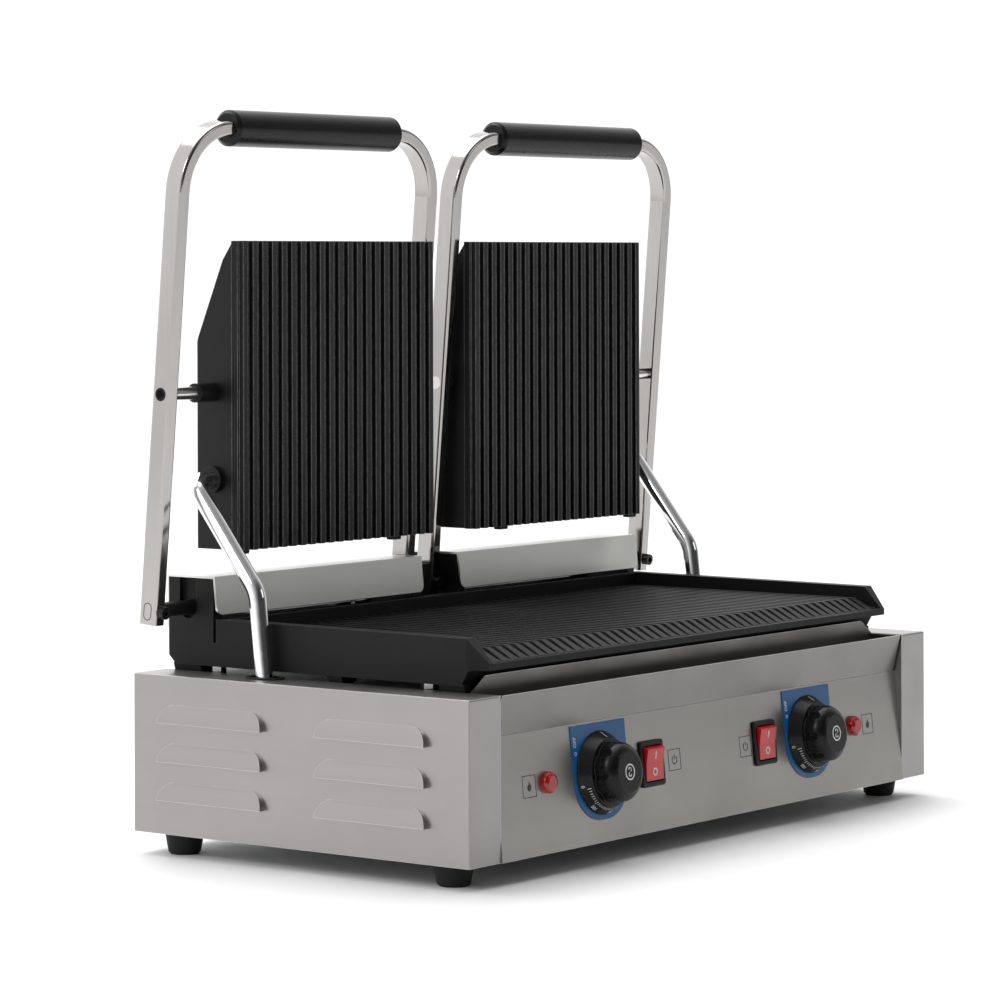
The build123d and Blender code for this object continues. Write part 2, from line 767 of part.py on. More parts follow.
# Cable tubes: from the gland, round an elbow, down through the slot into the housing
tube_run = hypot(tube_deck_y - tube_bend_y, tube_bend_rise)
tube_foot = (
    -tube_plane,
    tube_bend_y + (tube_deck_y - tube_bend_y) * tube_tail / tube_run,
    deck + tube_bend_rise - tube_bend_rise * tube_tail / tube_run,
)
with BuildPart() as cable_tube_left:
    with BuildLine() as tube_path:
        FilletPolyline(
            (tube_end, gland_y, gland_z),
            (-tube_plane, gland_y, gland_z),
            (-tube_plane, tube_bend_y, deck + tube_bend_rise),
            tube_foot,
            radius=(elbow_radius, tube_bend_radius),
        )
    with BuildSketch(Plane(origin=tube_path.line @ 0, z_dir=tube_path.line % 0)):
        Circle(tube_diameter / 2)
        Circle(tube_bore / 2, mode=Mode.SUBTRACT)
    sweep(path=tube_path.line)

# Slot liners: oblong rims around the tube slots in the deck
liner_height = 1.2
with BuildPart() as slot_liner_left:
    with BuildSketch(Plane.XY.offset(deck)):
        with Locations((-tube_plane, slot_middle)):
            SlotOverall(slot_length + 5, slot_width + 5, rotation=90)
            SlotOverall(slot_length, slot_width, rotation=90, mode=Mode.SUBTRACT)
    extrude(amount=liner_height)

# Dial plates: flat coloured plates under the knobs, square above and rounded below
dial_round = 28
dial_shift = 1.2
dials = {}
for side_name, x in zip(("left", "right"), knob_places):
    with BuildPart() as dial:
        with BuildSketch(panel_plane):
            with Locations((x, dial_shift)):
                Rectangle(dial_plate_width, dial_plate_height)
            fillet(vertices().group_by(Axis.Y)[0], dial_round)
            with Locations((x, 0)):
                Circle(spindle_diameter / 2 + 2, mode=Mode.SUBTRACT)
        extrude(amount=dial_plate_sheet)
    dials[side_name] = dial

# Knobs: a lobed grip on a conical skirt, with the spindle that enters the thermostat
skirt_base = dial_plate_sheet + knob_gap
skirt_top_diameter = knob_diameter + 5
lobe_count = 8
lobe_depth = 1.4
knob_face = 27
spindle_length = 14
grip_height = knob_reach - skirt_base - skirt_height + 1
with BuildPart() as knob_grip:
    with BuildSketch():
        Circle(knob_diameter / 2)
        with PolarLocations(knob_diameter / 2 + 6, lobe_count):
            Circle(6 + lobe_depth, mode=Mode.SUBTRACT)
    extrude(amount=grip_height)
    with BuildSketch(Plane.XZ):
        with BuildLine():
            Polyline((knob_face / 2, grip_height), (0, grip_height), (0, 0), (knob_diameter, 0),
                     (knob_diameter, 0.4 * grip_height), (knob_diameter / 2, 0.4 * grip_height))
            ThreePointArc((knob_diameter / 2, 0.4 * grip_height),
                          (knob_diameter / 2 - 1.7, 0.78 * grip_height), (knob_face / 2, grip_height))
        make_face()
    revolve(axis=Axis.Z, mode=Mode.INTERSECT)
knobs = {}
for side_name, x in zip(("left", "right"), knob_places):
    with BuildPart() as knob:
        with BuildSketch(panel_plane.offset(skirt_base)):
            with Locations((x, 0)):
                Circle(skirt_diameter / 2)
        with BuildSketch(panel_plane.offset(skirt_base + skirt_height)):
            with Locations((x, 0)):
                Circle(skirt_top_diameter / 2)
        loft()
        with Locations(Plane(origin=panel_plane.from_local_coords((x, 0, skirt_base + skirt_height - 1)),
                             x_dir=panel_plane.x_dir, z_dir=panel_plane.z_dir)):
            add(knob_grip.part)
        with BuildSketch(panel_plane.offset(-spindle_length)):
            with Locations((x, 0)):
                Circle(spindle_diameter / 2)
        extrude(amount=spindle_length + skirt_base + 1)
    knobs[side_name] = knob

# Thermostats behind the panel, each with a threaded neck through it
thermo_width = 40
thermo_height = 44
thermo_depth = 28
neck_diameter = spindle_diameter + 3.6
thermostats = {}
for side_name, x in zip(("left", "right"), knob_places):
    with BuildPart() as thermostat:
        with BuildSketch(panel_plane.offset(-2 * sheet - slip)):
            with Locations((x, 0)):
                Rectangle(thermo_width, thermo_height)
        extrude(amount=-thermo_depth)
        with BuildSketch(panel_plane.offset(-2 * sheet - 2 * slip)):
            with Locations((x, 0)):
                Circle(neck_diameter / 2)
        extrude(amount=2 * sheet + slip)
        with BuildSketch(panel_plane):
            with Locations((x, 0)):
                Circle(spindle_diameter / 2 + running_gap)
        extrude(amount=-spindle_length - 1, mode=Mode.SUBTRACT)
    thermostats[side_name] = thermostat

# Rocker switches: a bezel and body clipped into the panel, and the rocker that tilts in it
rocker_width = opening_width - 2 * rocker_gap
rocker_radius = opening_height / 2 - rocker_gap
rocker_axis_depth = 1.0
rocker_back = 6
rocker_high = 7.2
rocker_middle = 4.4
rocker_low = 3.6
switches = {}
rockers = {}
for side_name, x in zip(("left", "right"), switch_places):
    with BuildPart() as switch:
        with BuildSketch(panel_plane):
            with Locations((x, 0)):
                Rectangle(bezel_width, bezel_height)
            fillet(vertices(), 2)
        extrude(amount=bezel_proud)
        chamfer(switch.faces().sort_by(Axis.Y)[0].edges(), 0.8)
        with BuildSketch(panel_plane):
            with Locations((x, 0)):
                Rectangle(opening_width + 2 * switch_neck - slip, opening_height + 2 * switch_neck - slip)
        extrude(amount=-switch_depth)
        with BuildSketch(panel_plane.offset(bezel_proud)):
            with Locations((x, 0)):
                Rectangle(opening_width, opening_height)
        extrude(amount=-bezel_proud - rocker_radius - 2, mode=Mode.SUBTRACT)
    switches[side_name] = switch
    rocker_frame = Plane(
        origin=panel_plane.from_local_coords((x - rocker_width / 2, 0, -rocker_axis_depth)),
        x_dir=panel_plane.y_dir,
        z_dir=(1, 0, 0),
    )
    with BuildPart() as rocker:
        with BuildSketch(rocker_frame):
            Circle(rocker_radius)
            Polygon(
                (-2 * rocker_radius, -rocker_back),
                (2 * rocker_radius, -rocker_back),
                (rocker_radius, rocker_high),
                (0, rocker_middle),
                (-rocker_radius, rocker_low),
                (-2 * rocker_radius, rocker_low),
                align=None,
                mode=Mode.INTERSECT,
            )
        extrude(amount=rocker_width)
    rockers[side_name] = rocker

# Pilot lamps: domed lenses with a body through the panel
lamp_proud = 5
lamp_body = 18
lamps = {}
for side_name, x in zip(("left", "right"), lamp_places):
    with BuildPart() as lamp:
        with BuildSketch(panel_plane):
            with Locations((x, 0)):
                Circle(lamp_diameter / 2)
        extrude(amount=lamp_proud)
        fillet(lamp.faces().sort_by(Axis.Y)[0].edges(), 3)
        with BuildSketch(panel_plane):
            with Locations((x, 0)):
                Circle(lamp_hole / 2 - slip)
        extrude(amount=-lamp_body)
    lamps[side_name] = lamp

# Terminal block on the pan and mains cable gland in the back panel
with BuildPart() as terminal_block:
    slab(gland_x - 70, gland_x - 25, 60, 85, pan_bottom + sheet, pan_bottom + sheet + 22)
    with BuildSketch(Plane.XY.offset(pan_bottom + sheet + 22)):
        with Locations((gland_x - 47.5, 72.5)):
            with GridLocations(12, 12, 3, 2):
                Circle(3)
    extrude(amount=-8, mode=Mode.SUBTRACT)

with BuildPart() as cable_gland:
    with BuildSketch(Plane.XZ.offset(-back + sheet)):
        with Locations((gland_x, cable_gland_z)):
            RegularPolygon(13, 6)
    extrude(amount=-6)
    with BuildSketch(Plane.XZ.offset(-back + sheet - 6)):
        with Locations((gland_x, cable_gland_z)):
            Circle(10)
    extrude(amount=-gland_dome)
    fillet(cable_gland.edges().filter_by(GeomType.CIRCLE).sort_by(Axis.Y)[-1], 3)
    with BuildSketch(Plane.XZ.offset(-back + sheet)):
        with Locations((gland_x, cable_gland_z)):
            Circle(cable_hole / 2)
    extrude(amount=12)
    with BuildSketch(Plane.XZ.offset(-back - gland_dome - 20)):
        with Locations((gland_x, cable_gland_z)):
            Circle(4.5)
    extrude(amount=gland_dome + 50, mode=Mode.SUBTRACT)

# Screws that hold the back panel to the side covers
with BuildPart() as back_screws:
    for x in (-side_inner + 12, side_inner - 12):
        for z in (foot_height + 20, deck - 20):
            with BuildSketch(Plane.XZ.offset(-back)):
                with Locations((x, z)):
                    Circle(4)
            extrude(amount=-2)

# Everything on the right is the mirror image of the left
pairs = {
    "side_cover": side_cover_left,
    "hinge_cover": hinge_cover_left,
    "handle": handle_left,
    "grip": grip_left,
    "hinge_shaft": hinge_shaft_left,
    "clamp_screws": clamp_screws_left,
    "plate_pins": plate_pins_left,
    "upper_plate": upper_plate_left,
    "upper_cover": upper_cover_left,
    "upper_element": upper_element_left,
    "plate_bushes": plate_bushes_left,
    "tube_gland": tube_gland_left,
    "cable_tube": cable_tube_left,
    "slot_liner": slot_liner_left,
}
pieces = {
    "base_pan": base_pan,
    "back_panel": back_panel,
    "deck_plate": deck_plate,
    "front_panel": front_panel,
    "drip_tray": drip_tray,
    "lower_griddle": lower_griddle,
    "griddle_bolts": griddle_bolts,
    "element_shield": element_shield,
    "terminal_block": terminal_block,
    "cable_gland": cable_gland,
    "back_screws": back_screws,
}
pieces.update(feet)
for name, piece in pairs.items():
    pieces[name + "_left"] = piece
    with BuildPart() as mirrored:
        mirror(piece.part, about=Plane.YZ)
    pieces[name + "_right"] = mirrored
for side_name in ("left", "right"):
    pieces["lower_element_" + side_name] = elements[side_name]
    pieces["hinge_spring_" + side_name] = springs[side_name]
    pieces["dial_plate_" + side_name] = dials[side_name]
    pieces["knob_" + side_name] = knobs[side_name]
    pieces["thermostat_" + side_name] = thermostats[side_name]
    pieces["switch_body_" + side_name] = switches[side_name]
    pieces["rocker_" + side_name] = rockers[side_name]
    pieces["pilot_lamp_" + side_name] = lamps[side_name]

for name, piece in pieces.items():
    piece.part.label = name
    export_step(piece.part, f"parts/{name}.step")
print(len(pieces), "pieces written")
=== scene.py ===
from math import cos, hypot, pi, radians, sin

import bmesh
import bpy
from mathutils import Matrix, Vector


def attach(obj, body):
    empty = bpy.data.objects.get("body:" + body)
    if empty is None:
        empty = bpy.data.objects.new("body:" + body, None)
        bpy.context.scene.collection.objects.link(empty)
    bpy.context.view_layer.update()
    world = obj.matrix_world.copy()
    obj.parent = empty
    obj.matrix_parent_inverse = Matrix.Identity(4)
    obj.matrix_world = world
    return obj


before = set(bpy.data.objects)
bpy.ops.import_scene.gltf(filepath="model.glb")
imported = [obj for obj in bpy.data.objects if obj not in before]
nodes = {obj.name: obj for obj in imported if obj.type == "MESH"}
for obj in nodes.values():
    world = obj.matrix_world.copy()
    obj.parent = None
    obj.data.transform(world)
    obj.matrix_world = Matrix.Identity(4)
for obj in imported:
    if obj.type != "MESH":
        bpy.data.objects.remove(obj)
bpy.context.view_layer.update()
sides = ("left", "right")
print("frame loaded:", len(nodes), "nodes")


# Shader maths: a Link wraps a socket, so plain expressions add the Math nodes
class Link:
    def __init__(self, tree, socket):
        self.tree = tree
        self.socket = socket

    def add(self, kind, settings=None, output=0, **values):
        # a key such as i0 gives an input by its number, any other key by its name
        node = self.tree.nodes.new(kind)
        for key, value in (settings or {}).items():
            setattr(node, key, value)
        for key, value in values.items():
            numbered = key[0] == "i" and key[1:].isdigit()
            socket = node.inputs[int(key[1:]) if numbered else key.replace("_", " ")]
            if isinstance(value, Link):
                self.tree.links.new(value.socket, socket)
            else:
                socket.default_value = value
        return Link(self.tree, node.outputs[output])

    def maths(self, operation, left, right=0.0, clamp=False):
        settings = {"operation": operation, "use_clamp": clamp}
        return self.add("ShaderNodeMath", settings, i0=left, i1=right)

    def __add__(self, other):
        return self.maths("ADD", self, other)

    __radd__ = __add__

    def __sub__(self, other):
        return self.maths("SUBTRACT", self, other)

    def __rsub__(self, other):
        return self.maths("SUBTRACT", other, self)

    def __mul__(self, other):
        return self.maths("MULTIPLY", self, other)

    __rmul__ = __mul__

    def clamped(self):
        return self.maths("ADD", self, 0.0, clamp=True)


class Finish:
    bevel = {"samples": 6}

    def __init__(self, name):
        self.material = bpy.data.materials.new(name)
        self.material.use_nodes = True
        tree = self.material.node_tree
        self.shader = next(n for n in tree.nodes if n.type == "BSDF_PRINCIPLED")
        self.root = Link(tree, self.shader.outputs[0])
        self.place = self.root.add("ShaderNodeTexCoord", output=3)  # Object coordinates

    def noise(self, scale, stretch=(1, 1, 1), detail=3.0, roughness=0.5):
        spot = self.root.add("ShaderNodeMapping", Vector=self.place, Scale=stretch)
        return self.root.add("ShaderNodeTexNoise", Vector=spot, Scale=scale, Detail=detail,
                             Roughness=roughness)

    def range(self, value, low, high, start, end):
        return self.root.add("ShaderNodeMapRange", i0=value, i1=low, i2=high, i3=start, i4=end)

    def edges(self, radius, gain):
        # how far a rounded normal leaves the face's own: high on edges, none on flats; the finishes
        # lighten edges by it as painted highlight
        rounded = self.root.add("ShaderNodeBevel", self.bevel, Radius=radius)
        flat = self.root.add("ShaderNodeNewGeometry", output=3)
        match = self.root.add("ShaderNodeVectorMath", {"operation": "DOT_PRODUCT"}, output=1,
                              i0=rounded, i1=flat)
        return ((1.0 - match) * gain).clamped()

    def blend(self, factor, low, high):
        low = low if isinstance(low, Link) else (*low, 1)
        high = high if isinstance(high, Link) else (*high, 1)
        return self.root.add("ShaderNodeMixRGB", Fac=factor, Color1=low, Color2=high)

    def bump(self, height, strength, distance, radius=0.0):
        sockets = {"Height": height, "Strength": strength, "Distance": distance}
        if radius:
            sockets["Normal"] = self.root.add("ShaderNodeBevel", self.bevel, Radius=radius)
        return self.root.add("ShaderNodeBump", **sockets)

    def feed(self, **sockets):
        for key, value in sockets.items():
            socket = self.shader.inputs[key.replace("_", " ")]
            if isinstance(value, Link):
                self.root.tree.links.new(value.socket, socket)
            else:
                socket.default_value = value
        return self.material


finishes = {}  # the materials that are made in loops, by name


def pair(name):
    return [name + "_" + side for side in sides]


def dress(material, names):
    for name in names:
        mesh = nodes[name].data
        mesh.materials.clear()
        mesh.materials.append(material)


# Brushed stainless sheet: fine grain and streaks, drawn out along X (0), Y (1) or Z (2).
# In each finish a bump is its strength, and relief its height in metres.
steel = {
    "grain": 900.0,
    "streak": 120.0,
    "cloud": 5.0,
    "smudge": 22.0,
    "drawn": 0.012,
    "edge": 0.0006,
    "edgeGain": 6.0,
    # painted highlight: the pale colour that the sheet edges are lightened towards
    "edgeHighlight": (0.80, 0.79, 0.77),
    "bump": 0.02,
    "relief": 0.0001,
}
sheets = {
    "sideSteel": {
        "along": 1,
        "tone": (0.35, 0.338, 0.334),
        "dark": (0.31, 0.30, 0.296),
        "rough": (0.33, 0.41),
        "nodes": pair("side_cover"),
    },
    "panelSteel": {
        "along": 0,
        "tone": (0.36, 0.352, 0.335),
        "dark": (0.325, 0.318, 0.302),
        "rough": (0.30, 0.40),
        "nodes": ["front_panel", "back_panel", "deck_plate"],
    },
    # painted shade: the drip tray's front strip faces forward and down, so its steel is given a darker
    # tone than the panel's
    "shadedTraySteel": {
        "along": 0,
        "tone": (0.23, 0.225, 0.214),
        "dark": (0.20, 0.196, 0.187),
        "rough": (0.36, 0.46),
        "nodes": ["drip_tray"],
    },
    "coverSteel": {
        "along": 0,
        "tone": (0.74, 0.74, 0.71),
        "dark": (0.69, 0.69, 0.66),
        "rough": (0.33, 0.40),
        "nodes": pair("hinge_cover"),
    },
    "armSteel": {
        "along": 2,
        "tone": (0.50, 0.48, 0.465),
        "dark": (0.36, 0.345, 0.335),
        "rough": (0.08, 0.18),
        "nodes": pair("handle"),
    },
    "pinSteel": {
        "along": 0,
        "tone": (0.72, 0.71, 0.69),
        "dark": (0.60, 0.59, 0.57),
        "rough": (0.15, 0.25),
        "nodes": ["griddle_bolts", "back_screws", *pair("plate_pins")],
    },
    "springSteel": {
        "along": 1,
        "tone": (0.30, 0.29, 0.29),
        "dark": (0.20, 0.20, 0.20),
        "rough": (0.30, 0.40),
        "nodes": pair("hinge_spring"),
    },
    "zincSteel": {
        "along": 0,
        "tone": (0.50, 0.51, 0.51),
        "dark": (0.40, 0.41, 0.42),
        "rough": (0.40, 0.55),
        "nodes": ["base_pan", "element_shield"],
    },
}


def brushedSteel(name, sheet):
    finish = Finish(name)
    stretch = [1, 1, 1]
    stretch[sheet["along"]] = steel["drawn"]
    grain = finish.noise(steel["grain"], stretch, 2.0)
    streak = finish.noise(steel["streak"], stretch, 2.0)
    cloud = finish.noise(steel["cloud"], detail=2.0)
    smudge = finish.noise(steel["smudge"], detail=4.0)
    edge = finish.edges(steel["edge"], steel["edgeGain"])
    shade = grain * 0.4 + streak * 0.35 + cloud * 0.25
    base = finish.blend(shade, sheet["dark"], sheet["tone"])
    sheen = finish.range(smudge, 0.35, 0.7, *sheet["rough"]) + (grain - 0.5) * 0.06
    return finish.feed(
        # painted highlight: the edges are lightened towards the edge highlight colour
        Base_Color=finish.blend(edge * 0.6, base, steel["edgeHighlight"]),
        Metallic=1.0,
        Roughness=(sheen - edge * 0.1).clamped(),
        Normal=finish.bump(grain, steel["bump"], steel["relief"]),
    )


for name, sheet in sheets.items():
    finishes[name] = brushedSteel(name, sheet)
    dress(finishes[name], sheet["nodes"])
print("steel dressed")

# Cast iron: nearly black, sandy, with painted highlight on the rib edges
iron = {
    "face": (0.004, 0.004, 0.0042),
    "grit": (0.022, 0.022, 0.022),
    "pit": 1500.0,
    "lump": 260.0,
    "patch": 14.0,
    "edge": 0.0007,
    "specular": 0.28,
    "bump": 0.35,
    "relief": 0.0005,
    "crest": 0.084,  # Y of the upper plates' rib tops
    "crestDepth": 0.0005,
}
castings = {
    "plateIron": {
        # painted highlight: the grey that the rib edges are lightened towards
        "highlightGrey": (0.30, 0.297, 0.293),
        "edgeGain": 9.0,
        "crestHighlight": True,
        "nodes": pair("upper_plate"),
    },
    "griddleIron": {
        "highlightGrey": (0.06, 0.0595, 0.0585),
        "edgeGain": 5.0,
        "crestHighlight": False,
        "nodes": ["lower_griddle"],
    },
}


def castIron(name, casting):
    finish = Finish(name)
    sand = finish.noise(iron["pit"], detail=4.0, roughness=0.65)
    lump = finish.noise(iron["lump"], detail=3.0)
    patch = finish.noise(iron["patch"], detail=3.0)
    edge = finish.edges(iron["edge"], casting["edgeGain"])
    speck = finish.range(sand, 0.50, 0.66, 0.0, 1.0)
    body = finish.blend(speck * 0.55 + patch * 0.25, iron["face"], iron["grit"])
    # painted highlight: rib edges lightened in patches towards the highlight grey
    highlightMask = (edge * finish.range(lump, 0.3, 0.6, 0.45, 1.0)).clamped()
    if casting["crestHighlight"]:
        # painted highlight: the tops of the ribs are lightened in specks
        depth = finish.root.add("ShaderNodeSeparateXYZ", output=1, Vector=finish.place)
        top = finish.range(depth, iron["crest"], iron["crest"] + iron["crestDepth"], 1.0, 0.0)
        highlightMask = (highlightMask + top * speck * 0.3).clamped()
    gloss = finish.range(sand, 0.3, 0.7, 0.42, 0.62) - highlightMask * 0.12
    return finish.feed(
        Base_Color=finish.blend(highlightMask, body, casting["highlightGrey"]),
        Metallic=finish.range(highlightMask, 0.0, 1.0, 0.35, 0.8),
        Roughness=gloss.clamped(),
        Specular_IOR_Level=iron["specular"],
        Normal=finish.bump(sand * 0.7 + lump * 0.3, iron["bump"], iron["relief"], iron["edge"]),
    )


for name, casting in castings.items():
    finishes[name] = castIron(name, casting)
    dress(finishes[name], casting["nodes"])
print("iron dressed")

# Chrome tube: mirror bright, with the faintest waviness
chrome = {
    "low": (0.80, 0.80, 0.81),
    "high": (0.90, 0.90, 0.91),
    "rough": (0.05, 0.12),
    "wave": 35.0,
    "haze": 160.0,
    "bump": 0.03,
    "relief": 0.001,
}
tube = Finish("tubeChrome")
wave = tube.noise(chrome["wave"], detail=2.0)
haze = tube.noise(chrome["haze"], detail=3.0)
tube.feed(
    Base_Color=tube.blend(haze, chrome["low"], chrome["high"]),
    Metallic=1.0,
    Roughness=tube.range(haze, 0.3, 0.7, *chrome["rough"]),
    Normal=tube.bump(wave, chrome["bump"], chrome["relief"]),
)
dress(tube.material, pair("cable_tube"))

# Black pieces: painted, moulded or rubber, told apart by gloss and grain
black = {
    "dust": 18.0,
    "edge": 0.0008,
    "edgeGain": 5.0,
    # painted highlight: the grey that the edges of black pieces are lightened towards
    "rim": (0.12, 0.12, 0.12),
    "specular": 0.22,
    "relief": 0.0004,
}
blacks = {
    "blackPaint": {
        "face": (0.003, 0.003, 0.0032),
        "light": (0.010, 0.010, 0.0102),
        "rough": (0.34, 0.46),
        "grain": 1400.0,
        "bump": 0.10,
        "nodes": pair("upper_cover") + pair("plate_bushes"),
    },
    "gripBlack": {
        "face": (0.003, 0.003, 0.0032),
        "light": (0.007, 0.007, 0.0072),
        "rough": (0.24, 0.34),
        "grain": 900.0,
        "bump": 0.04,
        "nodes": pair("grip"),
    },
    "knobBlack": {
        "face": (0.003, 0.003, 0.003),
        "light": (0.007, 0.007, 0.007),
        "rough": (0.22, 0.32),
        "grain": 1100.0,
        "bump": 0.04,
        "nodes": pair("knob"),
    },
    "bezelBlack": {
        "face": (0.004, 0.004, 0.004),
        "light": (0.010, 0.010, 0.010),
        "rough": (0.32, 0.45),
        "grain": 1300.0,
        "bump": 0.06,
        "nodes": [*pair("switch_body"), *pair("thermostat"), *pair("tube_gland"), "cable_gland"],
    },
    "rubberBlack": {
        "face": (0.005, 0.005, 0.005),
        "light": (0.016, 0.016, 0.016),
        "rough": (0.5, 0.7),
        "grain": 700.0,
        "bump": 0.15,
        "nodes": pair("slot_liner") + pair("foot_front") + pair("foot_back"),
    },
    "shaftBlack": {
        "face": (0.004, 0.004, 0.0042),
        "light": (0.014, 0.014, 0.014),
        "rough": (0.24, 0.36),
        "grain": 800.0,
        "bump": 0.06,
        "nodes": pair("hinge_shaft") + pair("clamp_screws"),
    },
}


def blackFinish(name, look):
    finish = Finish(name)
    fine = finish.noise(look["grain"], detail=3.0, roughness=0.6)
    dust = finish.noise(black["dust"], detail=4.0)
    # painted highlight: the edges are lightened towards the rim grey
    rim = finish.edges(black["edge"], black["edgeGain"])
    body = finish.blend(fine * 0.5 + dust * 0.5, look["face"], look["light"])
    return finish.feed(
        Base_Color=finish.blend(rim * 0.35, body, black["rim"]),
        Roughness=finish.range(fine * 0.5 + dust * 0.5, 0.3, 0.7, *look["rough"]),
        Specular_IOR_Level=black["specular"],
        Normal=finish.bump(fine, look["bump"], black["relief"], black["edge"]),
    )


for name, look in blacks.items():
    finishes[name] = blackFinish(name, look)
    dress(finishes[name], look["nodes"])

# Coloured pieces, and the two colours of print: what a colour doesn't set is as tint has it
tint = {
    "grain": 500.0,
    "cloud": 25.0,
    "metal": 0.0,
    "coat": 0.0,
    "bump": 0.03,
    "relief": 0.0003,
    "edge": 0.0005,
}
colours = {
    "bluePlate": {
        "low": (0.0, 0.075, 0.23),
        "high": (0.0, 0.095, 0.27),
        "rough": (0.32, 0.45),
        "coat": 0.1,
        "nodes": pair("dial_plate"),
    },
    "redRocker": {
        "low": (0.50, 0.004, 0.010),
        "high": (0.58, 0.006, 0.014),
        "rough": (0.18, 0.28),
        "coat": 0.1,
        "nodes": pair("rocker"),
    },
    "redLens": {
        "low": (0.30, 0.001, 0.003),
        "high": (0.40, 0.002, 0.006),
        "rough": (0.08, 0.16),
        "coat": 0.4,
        "nodes": pair("pilot_lamp"),
    },
    "insulator": {
        "low": (0.62, 0.60, 0.54),
        "high": (0.72, 0.70, 0.64),
        "rough": (0.4, 0.55),
        "nodes": ["terminal_block"],
    },
    "elementGrey": {
        "low": (0.07, 0.062, 0.055),
        "high": (0.13, 0.12, 0.11),
        "rough": (0.45, 0.6),
        "metal": 0.6,
        "grain": 700.0,
        "bump": 0.15,
        "nodes": pair("lower_element") + pair("upper_element"),
    },
    "whitePrint": {
        "low": (0.72, 0.72, 0.72),
        "high": (0.80, 0.80, 0.80),
        "rough": (0.45, 0.6),
        "nodes": [],
    },
    "darkPrint": {
        "low": (0.012, 0.012, 0.014),
        "high": (0.03, 0.03, 0.032),
        "rough": (0.4, 0.55),
        "nodes": [],
    },
}


def tinted(name, look):
    finish = Finish(name)
    fine = finish.noise(look["grain"], detail=3.0)
    cloud = finish.noise(look["cloud"], detail=2.0)
    return finish.feed(
        Base_Color=finish.blend(fine * 0.4 + cloud * 0.6, look["low"], look["high"]),
        Metallic=look["metal"],
        Roughness=finish.range(cloud, 0.3, 0.7, *look["rough"]),
        Coat_Weight=look["coat"],
        Normal=finish.bump(fine, look["bump"], look["relief"], look["edge"]),
    )


for name, colour in colours.items():
    finishes[name] = tinted(name, {**tint, **colour})
    dress(finishes[name], colour["nodes"])
print("all frame nodes dressed")

# Where the control panel lies, in degrees and metres: its lean, a point on its face, the middle
# between its two sets of controls, and how far out from there the knobs and the switches are
panel = {
    "lean": 5.75,
    "y": -0.139984,
    "z": 0.0604,
    "centre": -0.005,
    "knobs": 0.128,
    "switches": 0.0695,
}
leanCos = cos(radians(panel["lean"]))
leanSin = sin(radians(panel["lean"]))


def panelPlace(x, up=0.0, out=0.0):
    turn = Matrix(((1, 0, 0), (0, leanSin, -leanCos), (0, leanCos, leanSin))).to_4x4()
    middle = Matrix.Translation((x, panel["y"], panel["z"]))
    return middle @ turn @ Matrix.Translation((0, up, out))


def sideX(side, name):
    return panel["centre"] + panel[name] * (-1 if side == "left" else 1)


def addPiece(name, mesh, material, body):
    piece = bpy.data.objects.new(name, mesh)
    bpy.context.scene.collection.objects.link(piece)
    mesh.materials.clear()
    mesh.materials.append(material)
    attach(piece, body)


def wordMesh(word, size, depth):
    curve = bpy.data.curves.new("word", "FONT")
    curve.body = word
    curve.size = size
    curve.align_x = "CENTER"
    curve.align_y = "CENTER"
    curve.extrude = depth
    curve.resolution_u = 3
    holder = bpy.data.objects.new("word", curve)
    bpy.context.scene.collection.objects.link(holder)
    bpy.context.view_layer.update()
    graph = bpy.context.evaluated_depsgraph_get()
    mesh = bpy.data.meshes.new_from_object(holder.evaluated_get(graph))
    bpy.data.objects.remove(holder)
    return mesh


def gather(bm, mesh, place):
    # adds a mesh to bm at a place, and frees it
    before = len(bm.verts)
    bm.from_mesh(mesh)
    bm.verts.ensure_lookup_table()
    bmesh.ops.transform(bm, matrix=place, verts=bm.verts[before:])
    bpy.data.meshes.remove(mesh)


def addSlab(bm, place, width, height, depth):
    bmesh.ops.create_cube(bm, size=1.0, matrix=place @ Matrix.Diagonal((width, height, depth, 1)))


def addRing(bm, place, outer, inner, depth, start=0.0, sweep=2 * pi, steps=32):
    # spins a small rectangle round the place's own Z
    outline = ((inner, 0), (outer, 0), (outer, depth), (inner, depth))
    corners = [bm.verts.new((radius, 0, z)) for radius, z in outline]
    rim = [bm.edges.new((corners[i - 1], corners[i])) for i in range(len(corners))]
    full = abs(sweep - 2 * pi) < 1e-6
    bmesh.ops.rotate(bm, verts=corners, cent=(0, 0, 0), matrix=Matrix.Rotation(start, 3, "Z"))
    before = set(bm.verts) - set(corners)
    bmesh.ops.spin(bm, geom=corners + rim, cent=(0, 0, 0), axis=(0, 0, 1), angle=sweep, steps=steps,
                   use_merge=full, use_duplicate=False)
    made = [v for v in bm.verts if v not in before]
    if not full:
        ends = [e for e in bm.edges if e.is_boundary and e.verts[0] in made]
        bmesh.ops.holes_fill(bm, edges=ends, sides=4)
    bmesh.ops.transform(bm, matrix=place, verts=made)


def thicken(bm, faces, offset):
    # raises flat faces by an offset and closes them into a plate
    raised = bmesh.ops.extrude_face_region(bm, geom=faces)
    moved = [v for v in raised["geom"] if isinstance(v, bmesh.types.BMVert)]
    bmesh.ops.translate(bm, verts=moved, vec=offset)


def finishMesh(bm, name):
    bmesh.ops.recalc_face_normals(bm, faces=bm.faces)
    mesh = bpy.data.meshes.new(name)
    bm.to_mesh(mesh)
    bm.free()
    return mesh


